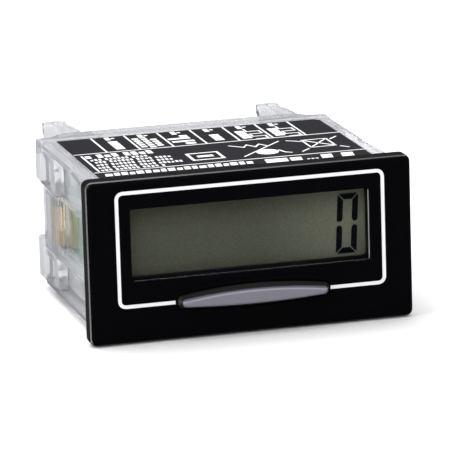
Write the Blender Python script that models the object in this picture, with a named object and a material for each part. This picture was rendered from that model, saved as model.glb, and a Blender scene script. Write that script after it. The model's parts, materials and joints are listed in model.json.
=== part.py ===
"""Panel counter: an LCD totalising counter with a nominal 72 x 36 mm bezel, a clear case and a rear clip.

Every place is given in the instrument's own frame: X to the right seen from the front, Y back from
the bezel's front face, Z up from the bezel's lower edge. The empty counter_frame carries all pieces
and puts the point midway between the foremost and rearmost edges at the world's origin.
"""
import math

import bmesh
import bpy

MM = 0.001

# Clearances
SEAT_GAP = 0.30 * MM
WINDOW_GAP = 0.15 * MM
PRINT_GAP = 0.05 * MM
KEY_GAP = 0.20 * MM
GLASS_GAP = 0.20 * MM

# Bezel
BEZEL_WIDTH = 72.4 * MM
BEZEL_HEIGHT = 36.0 * MM
BEZEL_DEPTH = 4.2 * MM
BEZEL_CORNER_RADIUS = 1.5 * MM
BEZEL_EDGE_RADIUS = 1.4 * MM
FACE_THICKNESS = 2.6 * MM
OPENING_CHAMFER = 0.22 * MM

# Window aperture and the printed line round it
LINE_MARGIN_BESIDE = 6.22 * MM
LINE_MARGIN_ABOVE = 2.45 * MM
LINE_MARGIN_BELOW = 7.9 * MM
LINE_CORNER_RADIUS = 1.7 * MM
APERTURE_MARGIN_BESIDE = 3.33 * MM
APERTURE_MARGIN_ABOVE = 4.1 * MM
APERTURE_MARGIN_BELOW = 5.6 * MM
APERTURE_CORNER_RADIUS = 0.5 * MM
WINDOW_RECESS = 0.3 * MM
LINE_STROKE = 0.78 * MM
LINE_THICKNESS = 0.12 * MM
LINE_KEY_MARGIN = 0.5 * MM

# Reset key, a lens seen from the front: a body with sloping flanks and a face let into it
KEY_LENGTH = 33.7 * MM
KEY_ABOVE_LINE = 0.5 * MM
KEY_TOP_RISE = 2.5 * MM
KEY_BOTTOM_RISE = 2.2 * MM
KEY_TOP_BULGE = 1.4 * MM
KEY_BOTTOM_BULGE = 0.8 * MM
KEY_END_SLANT = 0.5 * MM
KEY_FACE_INSET = 0.55 * MM
KEY_FACE_BULGE_LOSS = 0.35 * MM
KEY_PROUD = 2.1 * MM
KEY_FACE_THICKNESS = 0.6 * MM
KEY_FACE_EDGE = 0.45 * MM
KEY_FACE_STEP = 0.3 * MM
KEY_FLANGE_MARGIN = 0.4 * MM
KEY_FLANGE_THICKNESS = 0.8 * MM
KEY_STEM_WIDTH = 8.0 * MM
KEY_STEM_HEIGHT = 2.8 * MM
PLUNGER_RADIUS = 1.75 * MM
PLUNGER_LENGTH = 1.3 * MM
SWITCH_SIZE = 5.5 * MM
SWITCH_DEPTH = 3.2 * MM
SWITCH_BORE_DEPTH = 1.5 * MM
SWITCH_BORE_CLEARANCE = 0.15 * MM

# LCD cell and what holds it
VIEW_MARGIN_BESIDE = 0.15 * MM
VIEW_MARGIN_ABOVE = 0.3 * MM
VIEW_MARGIN_BELOW = 0.55 * MM
VIEW_CORNER_RADIUS = 0.8 * MM
GLASS_THICKNESS = 1.4 * MM
GLASS_BESIDE_VIEW = 1.2 * MM
GLASS_BELOW_VIEW = 1.3 * MM
GLASS_ABOVE_VIEW = 1.3 * MM
CONTACT_LEDGE = 1.25 * MM
REFLECTOR_THICKNESS = 0.3 * MM
HOLDER_LIP = 0.4 * MM
HOLDER_WALL = 0.8 * MM
HOLDER_DEPTH = 10.4 * MM
STRIP_END_GAP = 2.2 * MM
STRIP_HEIGHT = 0.85 * MM

# The digit shown: a seven-segment nought in the last of eight places
DIGIT_MARGIN_BESIDE = 2.05 * MM
DIGIT_MARGIN_ABOVE = 1.2 * MM
DIGIT_MARGIN_BELOW = 0.6 * MM
DIGIT_WIDTH = 4.7 * MM
DIGIT_STROKE = 1.3 * MM
DIGIT_MITRE_GAP = 0.18 * MM
DIGIT_MIDDLE_GAP = 0.9 * MM
DIGIT_LEAN = 0.055
DIGIT_THICKNESS = 0.06 * MM

# Clear case: a box with two grooves down each side
CASE_MARGIN_BESIDE = 2.45 * MM
CASE_MARGIN_BELOW = 1.7 * MM
CASE_MARGIN_ABOVE = 1.6 * MM
CASE_REAR_Y = 52.2 * MM
CASE_WALL = 1.5 * MM
CASE_EDGE_RADIUS = 0.35 * MM
RAIL_HEIGHT = 1.7 * MM
LOW_RAIL_HEIGHT = 1.4 * MM
RAIL_LIP = 0.3 * MM
BAY_HEIGHT = 14.4 * MM
BAY_DROP = 0.75 * MM
GROOVE_DEPTH = 2.4 * MM
CATCH_FRONT_Y = 10.9 * MM
CATCH_PEAK_Y = 12.0 * MM
CATCH_REAR_Y = 23.5 * MM
CATCH_RISE = 0.7 * MM
CATCH_HEIGHT = 1.2 * MM
TOP_NOTCH_LENGTH = 3.8 * MM
BAY_NOTCH_FRONT_Y = 16.2 * MM
BAY_NOTCH_LENGTH = 5.5 * MM
BAY_NOTCH_RISE = 0.8 * MM
NOTCH_DEPTH = 1.0 * MM

# Rear clip: a frame behind the case, four arms in the grooves and two finger tabs
CLIP_OVERHANG = 0.25 * MM
CLIP_DEPTH = 5.3 * MM
CLIP_TOP_SLOPE = 1.5 * MM
CLIP_SLOPE_DROP = 6.4 * MM
CLIP_WAIST_RELIEF = 2.8 * MM
CLIP_BLOCK_HEIGHT = 10.3 * MM
CLIP_LOW_CHAMFER = 1.2 * MM
CLIP_BAR_HEIGHT = 3.2 * MM
CLIP_LEDGE_DEPTH = 3.5 * MM
CLIP_LEDGE_THICKNESS = 1.2 * MM
CLIP_LEDGE_FROM_SIDE = 3.5 * MM
CLIP_LEDGE_TAPER = 6.0 * MM
CLIP_WAIST_DEPTH = 5.0 * MM
CLIP_POST_WIDTH = 3.0 * MM
ARM_THICKNESS = 2.1 * MM
ARM_LENGTH = 13.2 * MM
ARM_END_SLOPE = 2.1 * MM
ARM_POCKET_DEPTH = 0.7 * MM
ARM_POCKET_LENGTH = 3.6 * MM
ARM_POCKET_STEP = 4.7 * MM
ARM_RIB = 0.9 * MM
TAB_FROM_SIDE = 8.5 * MM
TAB_LENGTH = 20.5 * MM
TAB_BASE_WIDTH = 15.2 * MM
TAB_TIP_WIDTH = 5.0 * MM
TAB_TIP_FLAT = 2.8 * MM
TAB_TIP_LENGTH = 1.4 * MM
TAB_CURVE = 1.3
TAB_THICKNESS = 1.8 * MM
TAB_BELOW_TOP = 2.1 * MM
TAB_RISE = 1.2 * MM
TAB_RIB_WIDTH = 1.0 * MM
TAB_RIB_HEIGHT = 0.6 * MM

# Label on the case's top, with the lines of its terminal table
LABEL_MARGIN_BESIDE = 3.27 * MM
LABEL_FROM_REAR = 1.7 * MM
LABEL_THICKNESS = 0.15 * MM
LABEL_CORNER_CUT = 1.3 * MM
LABEL_CELLS = 8
LABEL_LINE = 0.42 * MM
LABEL_ROW_1_Y = 34.4 * MM
LABEL_ROW_2_Y = 15.2 * MM
LABEL_PRINT_THICKNESS = 0.06 * MM

# Boards and what is on them
BOARD_THICKNESS = 1.6 * MM
TERMINAL_BOARD_Y = 46.5 * MM
BATTERY_RADIUS = 7.25 * MM
BATTERY_LENGTH = 25.0 * MM
BATTERY_Y = 25.5 * MM
BATTERY_CAP_RADIUS = 2.6 * MM
BATTERY_CAP_LENGTH = 0.8 * MM
TAG_THICKNESS = 0.25 * MM
TAG_HEIGHT = 5.0 * MM
TAG_FOOT = 3.0 * MM
CHIP_WIDTH = 10.2 * MM
CHIP_HEIGHT = 5.6 * MM
CHIP_SPAN = 8.4 * MM
CHIP_DEPTH = 2.2 * MM
CHIP_PITCH = 1.27 * MM
CHIP_LEGS = 8
CHIP_FROM_SIDE = 9.5 * MM
CHIP_ABOVE_MIDDLE = 7.0 * MM
CRYSTAL_RADIUS = 1.5 * MM
CRYSTAL_LENGTH = 8.0 * MM
CRYSTAL_FROM_SIDE = 8.5 * MM
CRYSTAL_ABOVE_MIDDLE = 8.0 * MM
FILM_CAPACITOR_WIDTH = 3.2 * MM
FILM_CAPACITOR_DEPTH = 5.4 * MM
FILM_CAPACITOR_HEIGHT = 8.8 * MM
FILM_CAPACITOR_GAP = 0.5 * MM
SMOOTHING_RADIUS = 3.15 * MM
SMOOTHING_LENGTH = 7.7 * MM
SMOOTHING_FROM_SIDE = 11.0 * MM
SMOOTHING_ABOVE_MIDDLE = 8.4 * MM
LINK_BOARD_MARGIN = 3.0 * MM

# Terminal block through the case's rear wall
TERMINAL_COUNT = 6
BLOCK_HEIGHT = 14.0 * MM
BLOCK_PROUD = 2.8 * MM
BLOCK_FLANGE_MARGIN = 1.0 * MM
SCREW_HEAD_RADIUS = 1.65 * MM
SCREW_HEAD_THICKNESS = 1.5 * MM
SCREW_SHANK_RADIUS = 1.0 * MM
SCREW_SHANK_LENGTH = 2.8 * MM
SCREW_SLOT = 0.6 * MM
SCREW_SLOT_DEPTH = 0.7 * MM
SCREW_ABOVE_BASE = 10.0 * MM
SCREW_RECESS = 0.4 * MM
ENTRY_WIDTH = 3.9 * MM
ENTRY_HEIGHT = 3.8 * MM
ENTRY_ABOVE_BASE = 3.8 * MM
CLAMP_WALL = 0.4 * MM
CLAMP_LENGTH = 4.2 * MM
CLAMP_RECESS = 0.8 * MM
BORE_DEPTH = 5.2 * MM

# Values that follow from the ones above
CASE_WIDTH = BEZEL_WIDTH - 2 * CASE_MARGIN_BESIDE
CASE_BOTTOM_Z = CASE_MARGIN_BELOW
CASE_HEIGHT = BEZEL_HEIGHT - CASE_MARGIN_BELOW - CASE_MARGIN_ABOVE
LINE_WIDTH = BEZEL_WIDTH - 2 * LINE_MARGIN_BESIDE
LINE_HEIGHT = BEZEL_HEIGHT - LINE_MARGIN_ABOVE - LINE_MARGIN_BELOW
LINE_CENTRE_Z = LINE_MARGIN_BELOW + LINE_HEIGHT / 2
KEY_CENTRE_Z = LINE_MARGIN_BELOW + KEY_ABOVE_LINE
KEY_BODY_FRONT_Y = KEY_FACE_STEP - KEY_PROUD
APERTURE_WIDTH = LINE_WIDTH - 2 * APERTURE_MARGIN_BESIDE
APERTURE_HEIGHT = LINE_HEIGHT - APERTURE_MARGIN_ABOVE - APERTURE_MARGIN_BELOW
APERTURE_BOTTOM_Z = LINE_MARGIN_BELOW + APERTURE_MARGIN_BELOW
APERTURE_CENTRE_Z = APERTURE_BOTTOM_Z + APERTURE_HEIGHT / 2
VIEW_WIDTH = APERTURE_WIDTH - 2 * VIEW_MARGIN_BESIDE
VIEW_HEIGHT = APERTURE_HEIGHT - VIEW_MARGIN_ABOVE - VIEW_MARGIN_BELOW
VIEW_BOTTOM_Z = APERTURE_BOTTOM_Z + VIEW_MARGIN_BELOW
VIEW_CENTRE_Z = VIEW_BOTTOM_Z + VIEW_HEIGHT / 2
GLASS_WIDTH = VIEW_WIDTH + 2 * GLASS_BESIDE_VIEW
DIGIT_RIGHT_X = VIEW_WIDTH / 2 - DIGIT_MARGIN_BESIDE
DIGIT_BOTTOM_Z = VIEW_BOTTOM_Z + DIGIT_MARGIN_BELOW
DIGIT_HEIGHT = VIEW_HEIGHT - DIGIT_MARGIN_BELOW - DIGIT_MARGIN_ABOVE
STRIP_LENGTH = GLASS_WIDTH - 2 * STRIP_END_GAP
GLASS_FRONT_Y = FACE_THICKNESS + SEAT_GAP + HOLDER_LIP + SEAT_GAP
HOLDER_FRONT_Y = FACE_THICKNESS + SEAT_GAP
HOLDER_REAR_Y = HOLDER_FRONT_Y + HOLDER_DEPTH
DISPLAY_BOARD_Y = HOLDER_REAR_Y + SEAT_GAP
DISPLAY_BOARD_BACK_Y = DISPLAY_BOARD_Y + BOARD_THICKNESS
GLASS_BOTTOM_Z = VIEW_CENTRE_Z - VIEW_HEIGHT / 2 - GLASS_BELOW_VIEW
GLASS_TOP_Z = VIEW_CENTRE_Z + VIEW_HEIGHT / 2 + GLASS_ABOVE_VIEW
CASE_TOP_Z = CASE_BOTTOM_Z + CASE_HEIGHT
CASE_MIDDLE_Z = CASE_BOTTOM_Z + CASE_HEIGHT / 2
CASE_FRONT_Y = FACE_THICKNESS + SEAT_GAP
CASE_HALF = CASE_WIDTH / 2
GROOVE_HALF = CASE_HALF - GROOVE_DEPTH
BAY_MIDDLE_Z = CASE_MIDDLE_Z - BAY_DROP
UPPER_GROOVE = (BAY_MIDDLE_Z + BAY_HEIGHT / 2, CASE_TOP_Z - RAIL_HEIGHT)
LOWER_GROOVE = (CASE_BOTTOM_Z + LOW_RAIL_HEIGHT, BAY_MIDDLE_Z - BAY_HEIGHT / 2)
INNER_HALF = GROOVE_HALF - CASE_WALL
INNER_BOTTOM_Z = CASE_BOTTOM_Z + CASE_WALL
INNER_TOP_Z = CASE_TOP_Z - CASE_WALL
BAY_HALF = CASE_HALF - CASE_WALL
BAY_INSIDE = (LOWER_GROOVE[1] + CASE_WALL, UPPER_GROOVE[0] - CASE_WALL)
CLIP_FRONT_Y = CASE_REAR_Y + SEAT_GAP
CLIP_REAR_Y = CLIP_FRONT_Y + CLIP_DEPTH
CLIP_TOP_REAR_Y = CLIP_REAR_Y - CLIP_TOP_SLOPE
CLIP_HALF = CASE_HALF + CLIP_OVERHANG
CLIP_WAIST_HALF = CLIP_HALF - CLIP_WAIST_DEPTH
TAB_CENTRE_X = CLIP_HALF - TAB_FROM_SIDE
TAB_BASE_Z = CASE_TOP_Z - TAB_BELOW_TOP
LABEL_WIDTH = CASE_WIDTH - 2 * LABEL_MARGIN_BESIDE
LABEL_REAR_Y = CASE_REAR_Y - LABEL_FROM_REAR
BATTERY_Z = CASE_MIDDLE_Z
CHIP_X = CHIP_FROM_SIDE - INNER_HALF
CHIP_Z = CASE_MIDDLE_Z + CHIP_ABOVE_MIDDLE
CRYSTAL_X = INNER_HALF - CRYSTAL_FROM_SIDE
CRYSTAL_Z = CASE_MIDDLE_Z + CRYSTAL_ABOVE_MIDDLE
FILM_CAPACITOR_X = FILM_CAPACITOR_GAP + FILM_CAPACITOR_WIDTH / 2 - BAY_HALF
FILM_CAPACITOR_BOTTOM_Z = BAY_INSIDE[0] + FILM_CAPACITOR_GAP
SMOOTHING_X = INNER_HALF - SMOOTHING_FROM_SIDE
SMOOTHING_Z = CASE_MIDDLE_Z + SMOOTHING_ABOVE_MIDDLE
BLOCK_BOTTOM_Z = CASE_MIDDLE_Z - BLOCK_HEIGHT / 2
BLOCK_REAR_Y = CASE_REAR_Y + BLOCK_PROUD
SCREW_Z = BLOCK_BOTTOM_Z + SCREW_ABOVE_BASE
ENTRY_Z = BLOCK_BOTTOM_Z + ENTRY_ABOVE_BASE
TERMINAL_PITCH = LABEL_WIDTH / LABEL_CELLS
BLOCK_WIDTH = TERMINAL_COUNT * TERMINAL_PITCH
BLOCK_FRONT_Y = TERMINAL_BOARD_Y + BOARD_THICKNESS + SEAT_GAP
FLANGE_REAR_Y = CASE_REAR_Y - CASE_WALL - SEAT_GAP
FOREMOST_Y = -KEY_PROUD
REARMOST_Y = CLIP_TOP_REAR_Y + TAB_LENGTH


def material(name, colour, roughness, metallic=0.0, transmission=0.0, alpha=1.0):
    """A named Principled material."""
    made = bpy.data.materials.new(name)
    made.use_nodes = True
    shader = made.node_tree.nodes["Principled BSDF"]
    shader.inputs["Base Color"].default_value = (*colour, 1.0)
    shader.inputs["Roughness"].default_value = roughness
    shader.inputs["Metallic"].default_value = metallic
    shader.inputs["Transmission Weight"].default_value = transmission
    shader.inputs["Alpha"].default_value = alpha
    made.diffuse_color = (*colour, alpha)
    return made


def rounded_rectangle(width, height, radius, centre_z=0.0, steps=4):
    """Points (x, z) of a rectangle with round corners, anticlockwise from the lower right."""
    points = []
    for turn, (side_x, side_z) in enumerate(((1, -1), (1, 1), (-1, 1), (-1, -1))):
        middle_x = side_x * (width / 2 - radius)
        middle_z = centre_z + side_z * (height / 2 - radius)
        for step in range(steps + 1):
            angle = math.radians(-90 + 90 * turn + 90 * step / steps)
            points.append((middle_x + radius * math.cos(angle), middle_z + radius * math.sin(angle)))
    return points


def lens(inset=0.0, bulge_loss=0.0, steps=12):
    """The key's front outline: two shallow arcs and slanted ends, moved in by inset."""
    half_length = KEY_LENGTH / 2 - inset
    reach = half_length - KEY_END_SLANT
    outline = []
    for side, rise, bulge in ((1, KEY_TOP_RISE, KEY_TOP_BULGE), (-1, KEY_BOTTOM_RISE, KEY_BOTTOM_BULGE)):
        height = rise - inset
        depth = bulge - bulge_loss * bulge / KEY_TOP_BULGE
        radius = (reach ** 2 + depth ** 2) / (2 * depth)
        opening = math.asin(reach / radius)
        tip = (height - depth) / 2
        outline.append((side * half_length, side * tip))
        for step in range(steps + 1):
            angle = opening * (1 - 2 * step / steps)
            drop = radius * (1 - math.cos(angle))
            outline.append((side * radius * math.sin(angle), side * (height - drop)))
        outline.append((-side * half_length, side * tip))
    return [(x, KEY_CENTRE_Z + z) for x, z in outline]


def loft_along_y(sections):
    """A closed mesh through (y, outline) sections that have as many points each."""
    mesh = bmesh.new()
    rings = [[mesh.verts.new((x, y, z)) for x, z in outline] for y, outline in sections]
    count = len(rings[0])
    for ring, after in zip(rings, rings[1:]):
        for index in range(count):
            other = (index + 1) % count
            mesh.faces.new((ring[index], ring[other], after[other], after[index]))
    mesh.faces.new(rings[0])
    mesh.faces.new(rings[-1])
    return mesh


def prism(outline, low, high, axis):
    """A closed mesh that carries a flat outline from low to high along X, Y or Z."""
    place = {
        "x": lambda a, b, level: (level, a, b),
        "y": lambda a, b, level: (a, level, b),
        "z": lambda a, b, level: (a, b, level),
    }[axis]
    mesh = bmesh.new()
    rings = [[mesh.verts.new(place(a, b, level)) for a, b in outline] for level in (low, high)]
    count = len(outline)
    for index in range(count):
        other = (index + 1) % count
        mesh.faces.new((rings[0][index], rings[0][other], rings[1][other], rings[1][index]))
    mesh.faces.new(rings[0])
    mesh.faces.new(rings[1])
    return mesh


def block(x_span, y_span, z_span):
    """A rectangular block."""
    near, far = y_span
    corners = [(x_span[0], near), (x_span[1], near), (x_span[1], far), (x_span[0], far)]
    return prism(corners, z_span[0], z_span[1], "z")


def rod(radius, low, high, axis, centre=(0.0, 0.0), steps=24):
    """A round rod; centre gives the two places across its axis."""
    outline = []
    for step in range(steps):
        angle = 2 * math.pi * step / steps
        outline.append((centre[0] + radius * math.cos(angle), centre[1] + radius * math.sin(angle)))
    return prism(outline, low, high, axis)


def finish(name, mesh, surface, origin=(0.0, 0.0, 0.0), smooth_angle=35):
    """Make the object from a bmesh, with its origin at the given place."""
    bmesh.ops.recalc_face_normals(mesh, faces=mesh.faces)
    bmesh.ops.translate(mesh, verts=mesh.verts, vec=[-value for value in origin])
    data = bpy.data.meshes.new(name)
    mesh.to_mesh(data)
    mesh.free()
    made = bpy.data.objects.new(name, data)
    bpy.context.scene.collection.objects.link(made)
    made.parent = counter_frame
    made.location = origin
    if surface is not None:
        data.materials.append(surface)
    data.shade_smooth()
    data.set_sharp_from_angle(angle=math.radians(smooth_angle))
    return made


def tool(name, mesh):
    """A hidden cutter or filler for a Boolean."""
    made = finish(name, mesh, None)
    made.hide_render = True
    made.display_type = "WIRE"
    return made


def cut(target, name, mesh, operation="DIFFERENCE"):
    """Cut a mesh from the target, or join it with UNION."""
    modifier = target.modifiers.new(name, "BOOLEAN")
    modifier.operation = operation
    modifier.solver = "EXACT"
    modifier.object = tool(target.name + "_" + name, mesh)


def soften(target, width, segments=2, angle=40):
    """Round the moulded edges."""
    modifier = target.modifiers.new("soft_edges", "BEVEL")
    modifier.width = width
    modifier.segments = segments
    modifier.limit_method = "ANGLE"
    modifier.angle_limit = math.radians(angle)
    modifier.use_clamp_overlap = True


def make_bezel(surface):
    """Front plate with a rolled front edge, an aperture, a key slot and a socket for the case."""
    rear_outline = rounded_rectangle(BEZEL_WIDTH, BEZEL_HEIGHT, BEZEL_CORNER_RADIUS, BEZEL_HEIGHT / 2)
    sections = [(BEZEL_DEPTH, rear_outline)]
    roll_steps = 5
    for step in range(roll_steps + 1):
        angle = math.radians(90 * step / roll_steps)
        inset = BEZEL_EDGE_RADIUS * (1 - math.cos(angle))
        depth = BEZEL_EDGE_RADIUS * (1 - math.sin(angle))
        outline = rounded_rectangle(
            BEZEL_WIDTH - 2 * inset,
            BEZEL_HEIGHT - 2 * inset,
            BEZEL_CORNER_RADIUS - inset,
            BEZEL_HEIGHT / 2,
        )
        sections.append((depth, outline))
    bezel = finish("bezel", loft_along_y(sections), surface)
    beyond = BEZEL_DEPTH
    socket = block(
        (-CASE_HALF - WINDOW_GAP, CASE_HALF + WINDOW_GAP),
        (FACE_THICKNESS, BEZEL_DEPTH + beyond),
        (CASE_BOTTOM_Z - WINDOW_GAP, CASE_TOP_Z + WINDOW_GAP),
    )
    cut(bezel, "case_socket", socket)
    aperture = rounded_rectangle(APERTURE_WIDTH, APERTURE_HEIGHT, APERTURE_CORNER_RADIUS, APERTURE_CENTRE_Z)
    cut(bezel, "aperture", prism(aperture, -beyond, beyond, "y"))
    wide_aperture = rounded_rectangle(
        APERTURE_WIDTH + 4 * OPENING_CHAMFER,
        APERTURE_HEIGHT + 4 * OPENING_CHAMFER,
        APERTURE_CORNER_RADIUS + 2 * OPENING_CHAMFER,
        APERTURE_CENTRE_Z,
    )
    chamfers = ((-OPENING_CHAMFER, wide_aperture), (OPENING_CHAMFER, aperture))
    cut(bezel, "aperture_chamfer", loft_along_y(chamfers))
    cut(bezel, "key_slot", prism(lens(-KEY_GAP), -beyond, beyond, "y"))
    wide_slot = lens(-KEY_GAP - 2 * OPENING_CHAMFER)
    chamfers = ((-OPENING_CHAMFER, wide_slot), (OPENING_CHAMFER, lens(-KEY_GAP)))
    cut(bezel, "slot_chamfer", loft_along_y(chamfers))
    cut(bezel, "line_groove", prism(line_outline(PRINT_GAP), -beyond, LINE_THICKNESS + SEAT_GAP, "y"))
    return bezel


def line_outline(margin=0.0):
    """The printed line as one open ring: outer path, then the inner path back."""
    gap_half = KEY_LENGTH / 2 + LINE_KEY_MARGIN - margin
    grow = 2 * margin
    outer = rounded_rectangle(LINE_WIDTH + grow, LINE_HEIGHT + grow, LINE_CORNER_RADIUS, LINE_CENTRE_Z)
    shrink = 2 * LINE_STROKE + grow
    inner = rounded_rectangle(
        LINE_WIDTH - shrink, LINE_HEIGHT - shrink, LINE_CORNER_RADIUS - LINE_STROKE, LINE_CENTRE_Z
    )
    outer_low = LINE_CENTRE_Z - LINE_HEIGHT / 2 - margin
    inner_low = LINE_CENTRE_Z - LINE_HEIGHT / 2 + LINE_STROKE + margin
    ends = [(-gap_half, outer_low), (-gap_half, inner_low)]
    start = [(gap_half, inner_low), (gap_half, outer_low)]
    return outer + ends + inner[::-1] + start


def make_frame_line(surface):
    """Printed line, a thin inlay flush with the face."""
    return finish("frame_line", prism(line_outline(), 0.0, LINE_THICKNESS, "y"), surface)


def make_front_window(surface):
    """Clear block that fills the aperture."""
    outline = rounded_rectangle(
        APERTURE_WIDTH - 2 * WINDOW_GAP,
        APERTURE_HEIGHT - 2 * WINDOW_GAP,
        APERTURE_CORNER_RADIUS,
        APERTURE_CENTRE_Z,
    )
    window = finish("front_window", prism(outline, WINDOW_RECESS, FACE_THICKNESS, "y"), surface)
    soften(window, WINDOW_GAP, 1, 60)
    return window


def make_reset_button(body_surface, face_surface):
    """Lens-shaped key: sloping flanks, a flange behind the bezel, a stem, and a separate face."""
    flange_front_y = FACE_THICKNESS + SEAT_GAP
    flange_rear_y = flange_front_y + KEY_FLANGE_THICKNESS
    foot_y = -OPENING_CHAMFER
    sections = [
        (KEY_BODY_FRONT_Y, lens(KEY_FACE_INSET, KEY_FACE_BULGE_LOSS)),
        (foot_y, lens()),
        (flange_front_y, lens()),
        (flange_front_y, lens(-KEY_FLANGE_MARGIN)),
        (flange_rear_y, lens(-KEY_FLANGE_MARGIN)),
    ]
    key = finish("reset_button", loft_along_y(sections), body_surface, (0.0, 0.0, KEY_CENTRE_Z))
    stem = block(
        (-KEY_STEM_WIDTH / 2, KEY_STEM_WIDTH / 2),
        (flange_rear_y - KEY_FLANGE_THICKNESS / 2, switch_front_y() - PLUNGER_LENGTH / 2 - SEAT_GAP),
        (KEY_CENTRE_Z - KEY_STEM_HEIGHT / 2, KEY_CENTRE_Z + KEY_STEM_HEIGHT / 2),
    )
    cut(key, "stem", stem, "UNION")
    wall = KEY_FACE_INSET + PRINT_GAP
    seat_y = KEY_FACE_THICKNESS - KEY_PROUD
    seat = prism(lens(wall, KEY_FACE_BULGE_LOSS), -2 * KEY_PROUD, seat_y + PRINT_GAP, "y")
    cut(key, "face_seat", seat)
    inset = wall + PRINT_GAP
    front = lens(inset + KEY_FACE_EDGE, KEY_FACE_BULGE_LOSS)
    side = lens(inset, KEY_FACE_BULGE_LOSS)
    face = loft_along_y(((-KEY_PROUD, front), (KEY_FACE_EDGE - KEY_PROUD, side), (seat_y, side)))
    finish("button_face", face, face_surface, (0.0, 0.0, KEY_CENTRE_Z))


def switch_front_y():
    """The switch body's front face."""
    return DISPLAY_BOARD_Y - SEAT_GAP - SWITCH_DEPTH


def make_switch(body_surface, plunger_surface):
    """Tact switch on the display board, and its plunger."""
    half = SWITCH_SIZE / 2
    front = switch_front_y()
    body = block((-half, half), (front, front + SWITCH_DEPTH), (KEY_CENTRE_Z - half, KEY_CENTRE_Z + half))
    switch = finish("tact_switch", body, body_surface)
    bore_radius = PLUNGER_RADIUS + SWITCH_BORE_CLEARANCE
    bore = rod(bore_radius, front - SEAT_GAP, front + SWITCH_BORE_DEPTH, "y", (0.0, KEY_CENTRE_Z))
    cut(switch, "plunger_bore", bore)
    start = front - PLUNGER_LENGTH / 2
    plunger = rod(PLUNGER_RADIUS, start, start + PLUNGER_LENGTH, "y", (0.0, KEY_CENTRE_Z))
    finish("switch_plunger", plunger, plunger_surface, (0.0, start, KEY_CENTRE_Z))


def make_digit(surface):
    """The nought: six dark bars just in front of the glass, mitred at the corners."""
    left = DIGIT_RIGHT_X - DIGIT_WIDTH
    right = DIGIT_RIGHT_X
    low = DIGIT_BOTTOM_Z
    high = DIGIT_BOTTOM_Z + DIGIT_HEIGHT
    middle = (low + high) / 2
    stroke = DIGIT_STROKE
    gap = DIGIT_MITRE_GAP
    waist = DIGIT_MIDDLE_GAP / 2
    soft = DIGIT_STROKE / 4
    top = [
        (left + gap + soft, high),
        (right - gap - soft, high),
        (right - gap - soft / 2, high - soft / 2),
        (right - gap - stroke, high - stroke),
        (left + gap + stroke, high - stroke),
        (left + gap + soft / 2, high - soft / 2),
    ]
    left_bar = [
        (left + soft / 2, high - gap - soft / 2),
        (left + stroke, high - gap - stroke),
        (left + stroke, middle + waist + 2 * soft),
        (left + stroke - soft, middle + waist),
        (left + soft, middle + waist),
        (left, middle + waist + soft),
        (left, high - gap - soft),
    ]
    right_bar = [(left + right - x, z) for x, z in left_bar]
    front = GLASS_FRONT_Y - PRINT_GAP - DIGIT_THICKNESS
    for upper_name, lower_name, bar in (
        ("digit_top", "digit_bottom", top),
        ("digit_upper_left", "digit_lower_left", left_bar),
        ("digit_upper_right", "digit_lower_right", right_bar),
    ):
        for name, points in ((upper_name, bar), (lower_name, [(x, 2 * middle - z) for x, z in bar])):
            leaning = [(x + DIGIT_LEAN * (z - low), z) for x, z in points]
            finish(name, prism(leaning, front, front + DIGIT_THICKNESS, "y"), surface)


def make_lcd_cell(surface):
    """Two bonded glasses; the front one is taller and leaves a contact ledge above and below."""
    front = GLASS_FRONT_Y
    middle = front + GLASS_THICKNESS
    rear = middle + GLASS_THICKNESS
    profile = [
        (front, GLASS_BOTTOM_Z),
        (middle, GLASS_BOTTOM_Z),
        (middle, GLASS_BOTTOM_Z + CONTACT_LEDGE),
        (rear, GLASS_BOTTOM_Z + CONTACT_LEDGE),
        (rear, GLASS_TOP_Z - CONTACT_LEDGE),
        (middle, GLASS_TOP_Z - CONTACT_LEDGE),
        (middle, GLASS_TOP_Z),
        (front, GLASS_TOP_Z),
    ]
    return finish("lcd_cell", prism(profile, -GLASS_WIDTH / 2, GLASS_WIDTH / 2, "x"), surface)


def make_lcd_reflector(surface):
    """Sheet behind the cell."""
    front = GLASS_FRONT_Y + 2 * GLASS_THICKNESS + SEAT_GAP
    sheet = block(
        (-GLASS_WIDTH / 2, GLASS_WIDTH / 2),
        (front, front + REFLECTOR_THICKNESS),
        (GLASS_BOTTOM_Z + CONTACT_LEDGE, GLASS_TOP_Z - CONTACT_LEDGE),
    )
    return finish("lcd_reflector", sheet, surface)


def make_contact_strips(surface):
    """Rubber strips that carry the contacts from the glass ledges to the board."""
    margin = (CONTACT_LEDGE - STRIP_HEIGHT) / 2
    half = STRIP_LENGTH / 2
    start = GLASS_FRONT_Y + GLASS_THICKNESS + SEAT_GAP
    for name, low in (
        ("contact_strip_upper", GLASS_TOP_Z - margin - STRIP_HEIGHT),
        ("contact_strip_lower", GLASS_BOTTOM_Z + margin),
    ):
        strip = block((-half, half), (start, HOLDER_REAR_Y), (low, low + STRIP_HEIGHT))
        finish(name, strip, surface)


def make_lcd_holder(surface):
    """Frame with a front lip round the view, a pocket for the glass and feet on the board."""
    half = GLASS_WIDTH / 2 + GLASS_GAP
    low = GLASS_BOTTOM_Z - GLASS_GAP
    high = GLASS_TOP_Z + GLASS_GAP
    outer = block(
        (-INNER_HALF + SEAT_GAP, INNER_HALF - SEAT_GAP),
        (HOLDER_FRONT_Y, HOLDER_REAR_Y),
        (low - HOLDER_WALL, high + HOLDER_WALL),
    )
    holder = finish("lcd_holder", outer, surface)
    pocket = block((-half, half), (HOLDER_FRONT_Y + HOLDER_LIP, HOLDER_REAR_Y + HOLDER_LIP), (low, high))
    cut(holder, "glass_pocket", pocket)
    view = rounded_rectangle(VIEW_WIDTH, VIEW_HEIGHT, VIEW_CORNER_RADIUS, VIEW_CENTRE_Z)
    cut(holder, "view", prism(view, 0.0, HOLDER_REAR_Y / 2, "y"))
    return holder


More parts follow.
